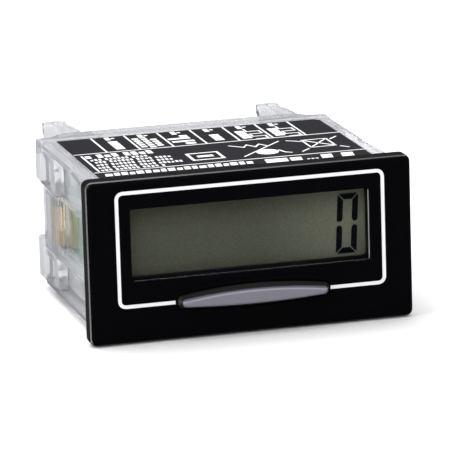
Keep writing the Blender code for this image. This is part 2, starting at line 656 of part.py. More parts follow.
def make_display_board(surface):
    """Board that closes the LCD holder's rear and carries the switch."""
    half = INNER_HALF - SEAT_GAP
    board = block(
        (-half, half),
        (DISPLAY_BOARD_Y, DISPLAY_BOARD_BACK_Y),
        (INNER_BOTTOM_Z + SEAT_GAP, INNER_TOP_Z - SEAT_GAP),
    )
    return finish("display_board", board, surface)


def make_controller_chip(surface):
    """Small-outline chip with its legs, on the display board's rear."""
    front = DISPLAY_BOARD_BACK_Y + SEAT_GAP
    body = block(
        (CHIP_X - CHIP_WIDTH / 2, CHIP_X + CHIP_WIDTH / 2),
        (front, front + CHIP_DEPTH),
        (CHIP_Z - CHIP_HEIGHT / 2, CHIP_Z + CHIP_HEIGHT / 2),
    )
    chip = finish("controller_chip", body, surface)
    leg_half = CHIP_PITCH / 6
    tooth_root = CHIP_HEIGHT / 2 - leg_half
    upper = []
    first = -(CHIP_LEGS - 1) / 2 * CHIP_PITCH
    for index in range(CHIP_LEGS):
        centre = first + index * CHIP_PITCH
        upper += [
            (centre - leg_half, tooth_root),
            (centre - leg_half, CHIP_SPAN / 2),
            (centre + leg_half, CHIP_SPAN / 2),
            (centre + leg_half, tooth_root),
        ]
    lower = [(-x, -z) for x, z in upper]
    comb = [(CHIP_X + x, CHIP_Z + z) for x, z in upper + lower]
    cut(chip, "legs", prism(comb, front + leg_half, front + 2 * leg_half, "y"), "UNION")
    return chip


def make_crystal(surface):
    """Round crystal can that lies on the display board."""
    centre_y = DISPLAY_BOARD_BACK_Y + SEAT_GAP + CRYSTAL_RADIUS
    start = CRYSTAL_X - CRYSTAL_LENGTH / 2
    can = rod(CRYSTAL_RADIUS, start, start + CRYSTAL_LENGTH, "x", (centre_y, CRYSTAL_Z), 16)
    return finish("crystal", can, surface)


def make_battery(cell_surface, tag_surface):
    """Lithium cell along X, with a raised cap at one end and a bent tag at each."""
    half = BATTERY_LENGTH / 2
    axis_place = (BATTERY_Y, BATTERY_Z)
    cell = finish("battery", rod(BATTERY_RADIUS, -half, half, "x", axis_place, 32), cell_surface)
    soften(cell, BATTERY_CAP_LENGTH, 2)
    cap_start = half - BATTERY_CAP_LENGTH
    cap = rod(BATTERY_CAP_RADIUS, cap_start, half + BATTERY_CAP_LENGTH, "x", axis_place, 16)
    cut(cell, "cap", cap, "UNION")
    board_y = DISPLAY_BOARD_BACK_Y + SEAT_GAP
    reach_y = BATTERY_Y + BATTERY_CAP_RADIUS
    for name, side, end_x in (
        ("battery_tag_left", -1, half + SEAT_GAP),
        ("battery_tag_right", 1, half + BATTERY_CAP_LENGTH + SEAT_GAP),
    ):
        outline = [
            (side * end_x, board_y),
            (side * (end_x + TAG_FOOT), board_y),
            (side * (end_x + TAG_FOOT), board_y + TAG_THICKNESS),
            (side * (end_x + TAG_THICKNESS), board_y + TAG_THICKNESS),
            (side * (end_x + TAG_THICKNESS), reach_y),
            (side * end_x, reach_y),
        ]
        finish(name, prism(outline, BATTERY_Z - TAG_HEIGHT / 2, BATTERY_Z + TAG_HEIGHT / 2, "z"), tag_surface)


def cross_outline(narrow_half, wide_half, low, high, wide_low, wide_high):
    """A cross-shaped outline: narrow over its whole height, wide in its middle band."""
    right = [
        (narrow_half, low),
        (narrow_half, wide_low),
        (wide_half, wide_low),
        (wide_half, wide_high),
        (narrow_half, wide_high),
        (narrow_half, high),
    ]
    left = [(-x, z) for x, z in reversed(right)]
    return right + left


def case_outline():
    """The case's section: rails at top and bottom, a bay at mid-height and grooves between."""
    right = [
        (CASE_HALF, CASE_BOTTOM_Z),
        (CASE_HALF, LOWER_GROOVE[0]),
        (GROOVE_HALF, LOWER_GROOVE[0]),
        (GROOVE_HALF, LOWER_GROOVE[1]),
        (CASE_HALF, LOWER_GROOVE[1]),
        (CASE_HALF, UPPER_GROOVE[0]),
        (GROOVE_HALF, UPPER_GROOVE[0]),
        (GROOVE_HALF, UPPER_GROOVE[1]),
        (CASE_HALF, UPPER_GROOVE[1]),
        (CASE_HALF, CASE_TOP_Z),
    ]
    left = [(-x, z) for x, z in reversed(right)]
    return right + left


def make_case(surface):
    """Clear moulded box, open at the front, with grooves, snap catches and a terminal opening."""
    case = finish("case", prism(case_outline(), CASE_FRONT_Y, CASE_REAR_Y, "y"), surface)
    soften(case, CASE_EDGE_RADIUS, 1)
    inside = cross_outline(INNER_HALF, BAY_HALF, INNER_BOTTOM_Z, INNER_TOP_Z, *BAY_INSIDE)
    cut(case, "inside", prism(inside, CASE_FRONT_Y - CASE_WALL, CASE_REAR_Y - CASE_WALL, "y"))
    opening = block(
        (-BLOCK_WIDTH / 2 - SEAT_GAP, BLOCK_WIDTH / 2 + SEAT_GAP),
        (CASE_REAR_Y - 2 * CASE_WALL, CASE_REAR_Y + CASE_WALL),
        (BLOCK_BOTTOM_Z - SEAT_GAP, BLOCK_BOTTOM_Z + BLOCK_HEIGHT + SEAT_GAP),
    )
    cut(case, "terminal_opening", opening)
    for side, label in ((-1, "left"), (1, "right")):
        ramp = [
            (side * (CASE_HALF - CATCH_RISE), CATCH_FRONT_Y),
            (side * CASE_HALF, CATCH_FRONT_Y),
            (side * (CASE_HALF + CATCH_RISE), CATCH_PEAK_Y),
            (side * CASE_HALF, CATCH_REAR_Y),
            (side * (CASE_HALF - CATCH_RISE), CATCH_REAR_Y),
        ]
        top_low = CASE_TOP_Z - CASE_EDGE_RADIUS - CATCH_HEIGHT
        bay_low = LOWER_GROOVE[1] + CASE_EDGE_RADIUS
        cut(case, f"catch_{label}", prism(ramp, top_low, top_low + CATCH_HEIGHT, "z"), "UNION")
        reach = tuple(sorted((side * (CASE_HALF - NOTCH_DEPTH), side * (CASE_HALF + NOTCH_DEPTH))))
        notch_start = CATCH_REAR_Y + NOTCH_DEPTH / 2
        notch_span = (notch_start, notch_start + TOP_NOTCH_LENGTH)
        cut(case, f"top_notch_{label}", block(reach, notch_span, (top_low, CASE_TOP_Z - RAIL_LIP)))
        wedge = [
            (BAY_NOTCH_FRONT_Y, bay_low),
            (BAY_NOTCH_FRONT_Y + BAY_NOTCH_LENGTH, bay_low),
            (BAY_NOTCH_FRONT_Y + BAY_NOTCH_LENGTH, bay_low + BAY_NOTCH_RISE),
        ]
        cut(case, f"bay_notch_{label}", prism(wedge, *reach, "x"))
    return case


def clip_frame_outline():
    """The clip's frame behind the case: full width at top and bottom, waisted at mid-height."""
    half = CLIP_HALF
    waist = CLIP_WAIST_HALF
    low_block = CASE_BOTTOM_Z + CLIP_BLOCK_HEIGHT
    high_block = CASE_TOP_Z - CLIP_BLOCK_HEIGHT
    right = [
        (half - CLIP_LOW_CHAMFER, CASE_BOTTOM_Z),
        (half, CASE_BOTTOM_Z + CLIP_LOW_CHAMFER),
        (half, low_block),
        (waist, low_block),
        (waist, high_block),
        (half - CLIP_LOW_CHAMFER, high_block),
        (half, high_block + CLIP_LOW_CHAMFER),
        (half, CASE_TOP_Z),
    ]
    left = [(-x, z) for x, z in reversed(right)]
    return right + left


def clip_side_profile():
    """The frame seen from the side, (y, z): thin at the waist, its rear sloping in at the top."""
    low_block = CASE_BOTTOM_Z + CLIP_BLOCK_HEIGHT
    high_block = CASE_TOP_Z - CLIP_BLOCK_HEIGHT
    waist_rear_y = CLIP_REAR_Y - CLIP_WAIST_RELIEF
    beyond = CLIP_DEPTH / 2
    return [
        (CLIP_FRONT_Y - beyond, CASE_BOTTOM_Z - beyond),
        (CLIP_REAR_Y - CLIP_LOW_CHAMFER - beyond, CASE_BOTTOM_Z - beyond),
        (CLIP_REAR_Y, CASE_BOTTOM_Z + CLIP_LOW_CHAMFER),
        (CLIP_REAR_Y, low_block),
        (waist_rear_y, low_block),
        (waist_rear_y, high_block),
        (CLIP_REAR_Y, high_block),
        (CLIP_REAR_Y, CASE_TOP_Z - CLIP_SLOPE_DROP),
        (CLIP_TOP_REAR_Y, CASE_TOP_Z),
        (CLIP_TOP_REAR_Y, CASE_TOP_Z + beyond),
        (CLIP_FRONT_Y - beyond, CASE_TOP_Z + beyond),
    ]


def ledge_outline():
    """Plan of the ledge behind the clip's top bar, with its ends drawn in."""
    root_half = CLIP_HALF - CLIP_LEDGE_FROM_SIDE
    start_y = CLIP_FRONT_Y + CLIP_DEPTH / 3
    end_y = CLIP_TOP_REAR_Y + CLIP_LEDGE_DEPTH
    right = [
        (root_half, start_y),
        (root_half, CLIP_TOP_REAR_Y),
        (root_half - CLIP_LEDGE_TAPER * 0.35, CLIP_TOP_REAR_Y + CLIP_LEDGE_DEPTH * 0.6),
        (root_half - CLIP_LEDGE_TAPER * 0.65, CLIP_TOP_REAR_Y + CLIP_LEDGE_DEPTH * 0.88),
        (root_half - CLIP_LEDGE_TAPER, end_y),
    ]
    left = [(-x, y) for x, y in reversed(right)]
    return right + left


def tab_outline(side, steps=10):
    """Plan of a finger tab: sides that curve in to a rounded tip."""
    start_y = CLIP_FRONT_Y + CLIP_DEPTH / 3
    length = REARMOST_Y - start_y
    points = []
    for step in range(steps + 1):
        along = 1 - (1 - step / steps) ** 2
        into_tip = max(0.0, 1 - (1 - along) * length / TAB_TIP_LENGTH)
        rounding = (TAB_TIP_WIDTH - TAB_TIP_FLAT) / 2 * (1 - math.sqrt(1 - into_tip ** 2))
        half = TAB_TIP_WIDTH / 2 + (TAB_BASE_WIDTH - TAB_TIP_WIDTH) / 2 * (1 - along) ** TAB_CURVE
        points.append((half - rounding, start_y + along * length))
    right = [(side * TAB_CENTRE_X + x, y) for x, y in points]
    left = [(side * TAB_CENTRE_X - x, y) for x, y in reversed(points)]
    return right + left


def sloped_prism(outline, base_z, thickness, slope):
    """A plate of even thickness over an (x, y) outline, which rises along Y."""
    start_y = min(y for _, y in outline)
    mesh = bmesh.new()
    rings = []
    for drop in (thickness, 0.0):
        rings.append([mesh.verts.new((x, y, base_z - drop + slope * (y - start_y))) for x, y in outline])
    count = len(outline)
    for index in range(count):
        other = (index + 1) % count
        mesh.faces.new((rings[0][index], rings[0][other], rings[1][other], rings[1][index]))
    mesh.faces.new(rings[0])
    mesh.faces.new(rings[1])
    return mesh


def make_mounting_clip(surface):
    """Clear clip: a waisted frame, four arms in the case's grooves and two finger tabs."""
    clip = finish("mounting_clip", prism(clip_frame_outline(), CLIP_FRONT_Y, CLIP_REAR_Y, "y"), surface)
    soften(clip, CASE_EDGE_RADIUS, 1, 50)
    cut(clip, "side_profile", prism(clip_side_profile(), -BEZEL_WIDTH, BEZEL_WIDTH, "x"), "INTERSECT")
    ledge_low = CASE_TOP_Z - CLIP_LEDGE_THICKNESS
    cut(clip, "ledge", prism(ledge_outline(), ledge_low, CASE_TOP_Z - PRINT_GAP, "z"), "UNION")
    window_half = CLIP_WAIST_HALF - CLIP_POST_WIDTH
    window = block(
        (-window_half, window_half),
        (CLIP_FRONT_Y - CLIP_DEPTH, CLIP_REAR_Y + CLIP_DEPTH),
        (CASE_BOTTOM_Z + CLIP_BAR_HEIGHT, CASE_TOP_Z - CLIP_BAR_HEIGHT),
    )
    cut(clip, "window", window)
    outer = CLIP_HALF - CASE_EDGE_RADIUS / 2
    arm_front = CLIP_FRONT_Y - ARM_LENGTH
    arm_rear = CLIP_FRONT_Y + CLIP_DEPTH / 3
    slope = TAB_RISE / TAB_LENGTH
    for side, label in ((-1, "left"), (1, "right")):
        reach = tuple(sorted((side * outer, side * (outer - ARM_THICKNESS))))
        for place, groove in (("upper", UPPER_GROOVE), ("lower", LOWER_GROOVE)):
            low = groove[0] + SEAT_GAP
            high = groove[1] - SEAT_GAP
            arm_side = [
                (arm_front, low),
                (arm_rear, low),
                (arm_rear, high),
                (arm_front + ARM_END_SLOPE, high),
                (arm_front, high - ARM_END_SLOPE),
            ]
            cut(clip, f"arm_{place}_{label}", prism(arm_side, *reach, "x"), "UNION")
            for step in range(2):
                pocket_rear = CLIP_FRONT_Y - ARM_RIB - step * ARM_POCKET_STEP
                pocket = block(
                    tuple(sorted((side * (outer - ARM_POCKET_DEPTH), side * (outer + ARM_POCKET_DEPTH)))),
                    (pocket_rear - ARM_POCKET_LENGTH, pocket_rear),
                    (low + ARM_RIB, high - ARM_RIB),
                )
                cut(clip, f"pocket_{place}_{label}_{step + 1}", pocket)
        cut(clip, f"tab_{label}", sloped_prism(tab_outline(side), TAB_BASE_Z, TAB_THICKNESS, slope), "UNION")
        rib_end_y = REARMOST_Y - TAB_TIP_WIDTH / 2
        rib_outline = [
            (side * TAB_CENTRE_X - TAB_RIB_WIDTH / 2, CLIP_FRONT_Y + CLIP_DEPTH / 3),
            (side * TAB_CENTRE_X + TAB_RIB_WIDTH / 2, CLIP_FRONT_Y + CLIP_DEPTH / 3),
            (side * TAB_CENTRE_X + TAB_RIB_WIDTH / 2, rib_end_y),
            (side * TAB_CENTRE_X - TAB_RIB_WIDTH / 2, rib_end_y),
        ]
        rib = sloped_prism(rib_outline, TAB_BASE_Z + TAB_RIB_HEIGHT, TAB_THICKNESS, slope)
        cut(clip, f"tab_rib_{label}", rib, "UNION")
    return clip


def make_terminal_board(surface):
    """Board in the case's rear, wide in the side bays."""
    outline = cross_outline(
        INNER_HALF - SEAT_GAP,
        BAY_HALF - SEAT_GAP,
        INNER_BOTTOM_Z + SEAT_GAP,
        INNER_TOP_Z - SEAT_GAP,
        BAY_INSIDE[0] + SEAT_GAP,
        BAY_INSIDE[1] - SEAT_GAP,
    )
    board = prism(outline, TERMINAL_BOARD_Y, TERMINAL_BOARD_Y + BOARD_THICKNESS, "y")
    return finish("terminal_board", board, surface)


def make_film_capacitor(surface):
    """Boxed film capacitor on the board's left ear."""
    rear = TERMINAL_BOARD_Y - SEAT_GAP
    body = block(
        (FILM_CAPACITOR_X - FILM_CAPACITOR_WIDTH / 2, FILM_CAPACITOR_X + FILM_CAPACITOR_WIDTH / 2),
        (rear - FILM_CAPACITOR_DEPTH, rear),
        (FILM_CAPACITOR_BOTTOM_Z, FILM_CAPACITOR_BOTTOM_Z + FILM_CAPACITOR_HEIGHT),
    )
    made = finish("film_capacitor", body, surface)
    soften(made, SEAT_GAP, 1)
    return made


def make_smoothing_capacitor(surface):
    """Round capacitor that stands on the terminal board."""
    rear = TERMINAL_BOARD_Y - SEAT_GAP
    can = rod(SMOOTHING_RADIUS, rear - SMOOTHING_LENGTH, rear, "y", (SMOOTHING_X, SMOOTHING_Z))
    made = finish("smoothing_capacitor", can, surface)
    soften(made, SEAT_GAP, 2)
    return made


def make_link_board(surface):
    """Board beside the film capacitor that joins the display board to the terminal board."""
    left = FILM_CAPACITOR_X + FILM_CAPACITOR_WIDTH / 2 + SEAT_GAP
    board = block(
        (left, left + BOARD_THICKNESS),
        (DISPLAY_BOARD_BACK_Y + SEAT_GAP, TERMINAL_BOARD_Y - SEAT_GAP),
        (INNER_BOTTOM_Z + LINK_BOARD_MARGIN, INNER_TOP_Z - LINK_BOARD_MARGIN),
    )
    return finish("link_board", board, surface)


def terminal_places():
    """The X of each terminal, left to right."""
    first = -(TERMINAL_COUNT - 1) / 2 * TERMINAL_PITCH
    return [first + index * TERMINAL_PITCH for index in range(TERMINAL_COUNT)]


def make_terminal_block(surface):
    """Block with a flange inside the case's rear wall, a screw bore and a wire entry per way."""
    half = BLOCK_WIDTH / 2
    low = BLOCK_BOTTOM_Z
    high = BLOCK_BOTTOM_Z + BLOCK_HEIGHT
    body = finish("terminal_block", block((-half, half), (BLOCK_FRONT_Y, BLOCK_REAR_Y), (low, high)), surface)
    margin = BLOCK_FLANGE_MARGIN
    flange = block(
        (-half - margin, half + margin), (BLOCK_FRONT_Y, FLANGE_REAR_Y), (low - margin, high + margin)
    )
    cut(body, "flange", flange, "UNION")
    beyond = BLOCK_REAR_Y + margin
    for index, x in enumerate(terminal_places()):
        bore = rod(SCREW_HEAD_RADIUS + SEAT_GAP, BLOCK_REAR_Y - BORE_DEPTH, beyond, "y", (x, SCREW_Z), 16)
        cut(body, f"screw_bore_{index + 1}", bore)
        entry = block(
            (x - ENTRY_WIDTH / 2, x + ENTRY_WIDTH / 2),
            (BLOCK_REAR_Y - BORE_DEPTH, beyond),
            (ENTRY_Z - ENTRY_HEIGHT / 2, ENTRY_Z + ENTRY_HEIGHT / 2),
        )
        cut(body, f"wire_entry_{index + 1}", entry)
    return body


def make_terminal_hardware(clamp_surface, screw_surface):
    """A wire clamp and a slotted screw in each way."""
    clamp_width = ENTRY_WIDTH - 2 * SEAT_GAP
    clamp_height = ENTRY_HEIGHT - 2 * SEAT_GAP
    clamp_rear = BLOCK_REAR_Y - CLAMP_RECESS
    head_rear = BLOCK_REAR_Y - SCREW_RECESS
    head_front = head_rear - SCREW_HEAD_THICKNESS
    for index, x in enumerate(terminal_places()):
        outer = block(
            (x - clamp_width / 2, x + clamp_width / 2),
            (clamp_rear - CLAMP_LENGTH, clamp_rear),
            (ENTRY_Z - clamp_height / 2, ENTRY_Z + clamp_height / 2),
        )
        clamp = finish(f"terminal_clamp_{index + 1}", outer, clamp_surface)
        throat = block(
            (x - clamp_width / 2 + CLAMP_WALL, x + clamp_width / 2 - CLAMP_WALL),
            (clamp_rear - 2 * CLAMP_LENGTH, clamp_rear + CLAMP_LENGTH),
            (ENTRY_Z - clamp_height / 2 + CLAMP_WALL, ENTRY_Z + clamp_height / 2 - CLAMP_WALL),
        )
        cut(clamp, "throat", throat)
        head = rod(SCREW_HEAD_RADIUS, head_front, head_rear, "y", (x, SCREW_Z), 16)
        screw = finish(f"terminal_screw_{index + 1}", head, screw_surface)
        shank_end = head_front - SCREW_SHANK_LENGTH
        shank = rod(SCREW_SHANK_RADIUS, shank_end, head_front + SCREW_SLOT, "y", (x, SCREW_Z), 12)
        cut(screw, "shank", shank, "UNION")
        slot = block(
            (x - 2 * SCREW_HEAD_RADIUS, x + 2 * SCREW_HEAD_RADIUS),
            (head_rear - SCREW_SLOT_DEPTH, head_rear + SCREW_SLOT_DEPTH),
            (SCREW_Z - SCREW_SLOT / 2, SCREW_Z + SCREW_SLOT / 2),
        )
        cut(screw, "slot", slot)


def make_top_label(surface):
    """Label on the case's top, with its rear right corner cut off."""
    half = LABEL_WIDTH / 2
    front = BEZEL_DEPTH + SEAT_GAP
    base = CASE_TOP_Z + PRINT_GAP
    outline = [
        (-half, front),
        (half, front),
        (half, LABEL_REAR_Y - LABEL_CORNER_CUT),
        (half - LABEL_CORNER_CUT, LABEL_REAR_Y),
        (-half, LABEL_REAR_Y),
    ]
    return finish("top_label", prism(outline, base, base + LABEL_THICKNESS, "z"), surface)


def make_label_lines(surface):
    """Lines of the terminal table: a comb of seven dividers, and one row line in front of it."""
    half = LABEL_WIDTH / 2
    stroke = LABEL_LINE / 2
    base = CASE_TOP_Z + LABEL_THICKNESS + 2 * PRINT_GAP
    top = base + LABEL_PRINT_THICKNESS
    rear = LABEL_REAR_Y - LABEL_CORNER_CUT / 2
    comb = [(-half, LABEL_ROW_1_Y - stroke), (half, LABEL_ROW_1_Y - stroke), (half, LABEL_ROW_1_Y + stroke)]
    pitch = LABEL_WIDTH / LABEL_CELLS
    for cell in range(LABEL_CELLS - 1, 0, -1):
        x = -half + cell * pitch
        comb += [
            (x + stroke, LABEL_ROW_1_Y + stroke),
            (x + stroke, rear),
            (x - stroke, rear),
            (x - stroke, LABEL_ROW_1_Y + stroke),
        ]
    comb.append((-half, LABEL_ROW_1_Y + stroke))
    finish("label_table_lines", prism(comb, base, top, "z"), surface)
    row = block((-half, half), (LABEL_ROW_2_Y - stroke, LABEL_ROW_2_Y + stroke), (base, top))
    finish("label_row_line", row, surface)


for existing in list(bpy.data.objects):
    bpy.data.objects.remove(existing, do_unlink=True)

counter_frame = bpy.data.objects.new("counter_frame", None)
bpy.context.scene.collection.objects.link(counter_frame)
counter_frame.location = (0.0, -(FOREMOST_Y + REARMOST_Y) / 2, 0.0)

black_gloss = material("black_gloss", (0.012, 0.012, 0.014), 0.18)
black_matt = material("black_matt", (0.02, 0.02, 0.022), 0.5)
white_print = material("white_print", (0.85, 0.85, 0.86), 0.45)
clear_window = material("clear_window", (0.93, 0.95, 0.95), 0.03, transmission=1.0, alpha=0.35)
clear_plastic = material("clear_plastic", (0.90, 0.93, 0.92), 0.08, transmission=1.0, alpha=0.35)
key_black = material("key_black", (0.02, 0.018, 0.018), 0.35)
key_grey = material("key_grey", (0.2, 0.195, 0.25), 0.4)
lcd_glass = material("lcd_glass", (0.085, 0.09, 0.068), 0.3)
lcd_black = material("lcd_black", (0.01, 0.012, 0.02), 0.4)
reflector_grey = material("reflector_grey", (0.42, 0.45, 0.38), 0.35, metallic=0.2)
strip_rubber = material("strip_rubber", (0.45, 0.2, 0.17), 0.7)
board_green = material("board_green", (0.04, 0.22, 0.10), 0.35)
capacitor_yellow = material("capacitor_yellow", (0.72, 0.55, 0.06), 0.4)
capacitor_sleeve = material("capacitor_sleeve", (0.03, 0.05, 0.13), 0.3)
battery_sleeve = material("battery_sleeve", (0.55, 0.57, 0.6), 0.3, metallic=0.3)
bright_metal = material("bright_metal", (0.7, 0.7, 0.68), 0.25, metallic=1.0)
brass = material("brass", (0.62, 0.46, 0.2), 0.3, metallic=1.0)
block_black = material("block_black", (0.03, 0.03, 0.035), 0.45)
label_black = material("label_black", (0.02, 0.02, 0.024), 0.35)

make_bezel(black_gloss)
make_frame_line(white_print)
make_front_window(clear_window)
make_reset_button(key_black, key_grey)
make_switch(black_matt, bright_metal)
make_lcd_cell(lcd_glass)
make_digit(lcd_black)
make_lcd_reflector(reflector_grey)
make_contact_strips(strip_rubber)
make_lcd_holder(black_matt)
make_display_board(board_green)
make_controller_chip(black_matt)
make_crystal(bright_metal)
make_battery(battery_sleeve, bright_metal)
make_case(clear_plastic)
make_mounting_clip(clear_plastic)
make_terminal_board(board_green)
make_film_capacitor(capacitor_yellow)
make_smoothing_capacitor(capacitor_sleeve)
make_link_board(board_green)
make_terminal_block(block_black)
make_terminal_hardware(brass, bright_metal)
make_top_label(label_black)
make_label_lines(white_print)
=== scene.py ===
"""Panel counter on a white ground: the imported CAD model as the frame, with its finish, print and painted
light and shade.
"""
import json
import math

import bpy
import numpy as np
from mathutils import Matrix, Vector


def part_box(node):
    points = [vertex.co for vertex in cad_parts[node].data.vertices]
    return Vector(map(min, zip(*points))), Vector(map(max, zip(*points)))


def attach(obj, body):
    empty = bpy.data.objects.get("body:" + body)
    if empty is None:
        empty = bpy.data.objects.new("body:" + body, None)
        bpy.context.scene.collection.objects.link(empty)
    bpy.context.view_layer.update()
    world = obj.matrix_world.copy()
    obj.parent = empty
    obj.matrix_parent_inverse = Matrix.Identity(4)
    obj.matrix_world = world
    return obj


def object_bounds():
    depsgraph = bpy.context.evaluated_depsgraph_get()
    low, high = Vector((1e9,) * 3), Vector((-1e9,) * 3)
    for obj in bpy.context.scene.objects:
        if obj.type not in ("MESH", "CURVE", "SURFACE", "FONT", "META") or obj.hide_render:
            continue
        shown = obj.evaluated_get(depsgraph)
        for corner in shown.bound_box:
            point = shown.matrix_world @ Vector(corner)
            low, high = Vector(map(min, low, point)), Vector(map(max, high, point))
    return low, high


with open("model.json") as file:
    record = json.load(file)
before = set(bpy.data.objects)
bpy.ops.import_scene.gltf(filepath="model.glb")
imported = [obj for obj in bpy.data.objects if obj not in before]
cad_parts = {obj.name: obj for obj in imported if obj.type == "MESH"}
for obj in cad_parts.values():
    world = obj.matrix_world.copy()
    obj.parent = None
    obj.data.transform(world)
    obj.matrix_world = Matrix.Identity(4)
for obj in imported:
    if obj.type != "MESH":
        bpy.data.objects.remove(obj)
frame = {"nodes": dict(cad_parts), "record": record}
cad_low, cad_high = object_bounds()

MM = 0.001
NODES = frame["nodes"]
BODY = "instrument"
FRONT_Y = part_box("bezel")[0].y
FRONT = FRONT_Y / MM

# Finish, with painted light and shade. Lengths are in millimetres: names that end in Y are depths behind the
# bezel's front, and names that end in Z are heights above its lower edge.

BROAD_SCALE = 0.12

# Key face: a painted highlight line and painted shade where its upper edge rolls back.
KEY_GREY = (0.195, 0.193, 0.232)
KEY_CURVE = 0.0048
KEY_ROLL = 0.5
KEY_HIGHLIGHT_RISE = (-0.35, -0.05)
KEY_HIGHLIGHT_FALL = (0.05, 0.2)
KEY_HIGHLIGHT_PALER = 0.6
KEY_ROLL_STEP = (0.05, 0.35)
KEY_ROLL_SHADE = 0.6

# Clear case: reeds, rear and lower rail darkened as painted shade, and the see-through bay walls painted a
# little paler.
CLEAR_CASE = (0.88, 0.885, 0.92)
BAY_Z = (10.1, 24.5)
BAY_EDGE = 0.2
BAY_PAINTED_PALER = 0.09
BAY_OPEN = 0.9
OPEN_Y = (3.0, 31.0, 36.0, 39.0)
INNER_OPEN_Y = (6.0, 38.0, 45.0, 47.0)
OPEN_Z = (11.0, 15.0)
REEDS_Y = (29.0, 48.0)
REEDS_EDGE = 1.0
REED_WALL = 2.6
WALL_EDGE = 0.1
SHEET_EDGE = (1.5, 1.2)
REED_PITCH = 0.9
REED_STEP = (0.42, 0.58)
REED_SHADE = 0.85
REED_RELIEF = 1.0
REAR_Y = (36.0, 42.0)
REAR_TOP_Z = (31.0, 33.0)
REAR_SHADE = 0.2
RAIL_Z = (3.0, 3.6)
RAIL_SHADE = 0.2

# Clip: a darker copy of the clear plastic as painted shade, with painted light on the front ends of its
# arms.
CLEAR_CLIP = (0.66, 0.67, 0.69)
ARM_END = (1.5, 9.0)
ARM_END_PAINTED_LIGHT = 0.4

WINDOW_TONE = (0.008, 0.008, 0.01)
WINDOW_ALPHA = 0.08
# Painted highlight along the window's right and lower edges, at its front.
RIM_HIGHLIGHT_TONE = (0.6, 0.6, 0.62)
RIM_ALPHA = 0.8
RIGHT_RIM_STEP = (0.3, 0.15)
LOWER_RIM_STEP = (0.1, 0.3)
FRONT_RIM_STEP = (0.2, 0.35)
LOWER_RIM = 0.35

# LCD: its olive tone, with painted shade to the left and at the top and painted light to the right.
LCD_SHADED_LEFT = (0.091, 0.098, 0.069)
LCD_LIT_RIGHT = (0.165, 0.176, 0.124)
LCD_TOP_SHADE = 0.55
LCD_GRAIN = 0.6
LCD_GRAIN_SIZE = 0.3

# Shader helpers


def add(tree, kind, **settings):
    """A node; settings name its properties, or its inputs with a leading in_."""
    node = tree.nodes.new(kind)
    for key, value in settings.items():
        if key.startswith("in_"):
            label = key[3:]
            socket = node.inputs[int(label)] if label.isdigit() else node.inputs[label.replace("_", " ")]
            socket.default_value = value
        else:
            setattr(node, key, value)
    return node


def math_node(tree, operation, a, b=None, c=None):
    """A Math node; a, b and c are numbers or sockets. Gives its output."""
    node = add(tree, "ShaderNodeMath", operation=operation)
    for index, value in enumerate((a, b, c)):
        if value is None:
            continue
        if isinstance(value, (int, float)):
            node.inputs[index].default_value = value
        else:
            tree.links.new(value, node.inputs[index])
    return node.outputs[0]


def product(tree, first, *others):
    """The product of two or more sockets."""
    for other in others:
        first = math_node(tree, "MULTIPLY", first, other)
    return first


def ramp(tree, socket, source, target=(0.0, 1.0)):
    """Carries a socket's value from one range of numbers to another, with soft ends."""
    made = add(tree, "ShaderNodeMapRange", interpolation_type="SMOOTHSTEP")
    tree.links.new(socket, made.inputs["Value"])
    made.inputs["From Min"].default_value = source[0]
    made.inputs["From Max"].default_value = source[1]
    made.inputs["To Min"].default_value = target[0]
    made.inputs["To Max"].default_value = target[1]
    return made.outputs[0]


def object_coordinates(tree):
    """Object coordinates in millimetres."""
    where = add(tree, "ShaderNodeTexCoord")
    scaled = add(tree, "ShaderNodeVectorMath", operation="SCALE", in_3=1 / MM)
    tree.links.new(where.outputs["Object"], scaled.inputs[0])
    return scaled.outputs[0]


def position(tree):
    """The X, Y and Z sockets of the object coordinates."""
    split = add(tree, "ShaderNodeSeparateXYZ")
    tree.links.new(object_coordinates(tree), split.inputs[0])
    return split.outputs


def spot(tree, axis, *stops):
    """Along an object axis in mm, rises from 0 to 1 over two stops and falls to 0 over the next two."""
    where = position(tree)[axis]
    made = ramp(tree, where, stops[:2])
    if len(stops) == 4:
        made = math_node(tree, "SUBTRACT", made, ramp(tree, where, stops[2:]))
    return made


def fade(tree, axis, first, last):
    """Along an object axis in mm, falls from 1 to 0."""
    return ramp(tree, position(tree)[axis], (first, last), (1.0, 0.0))


def scaled_colour(tree, colour, factor):
    """A colour socket times a factor socket."""
    made = add(tree, "ShaderNodeVectorMath", operation="SCALE")
    tree.links.new(colour, made.inputs[0])
    tree.links.new(factor, made.inputs[3])
    return made.outputs[0]


def mixed_colour(tree, factor, low, high):
    """The colour low where the factor is 0 and high where it is 1."""
    made = add(tree, "ShaderNodeMix", data_type="RGBA")
    tree.links.new(factor, made.inputs["Factor"])
    made.inputs[6].default_value = (*low, 1.0)
    made.inputs[7].default_value = (*high, 1.0)
    return made.outputs[2]


def group(name, inputs, outputs):
    """A node group with inputs {name: default} and outputs {name: socket type}."""
    made = bpy.data.node_groups.new(name, "ShaderNodeTree")
    for label, default in inputs.items():
        kind = "NodeSocketColor" if isinstance(default, tuple) else "NodeSocketFloat"
        socket = made.interface.new_socket(label, in_out="INPUT", socket_type=kind)
        socket.default_value = (*default, 1.0) if isinstance(default, tuple) else default
    for label, kind in outputs.items():
        made.interface.new_socket(label, in_out="OUTPUT", socket_type=kind)
    start = made.nodes.new("NodeGroupInput")
    end = made.nodes.new("NodeGroupOutput")
    return made, start, end


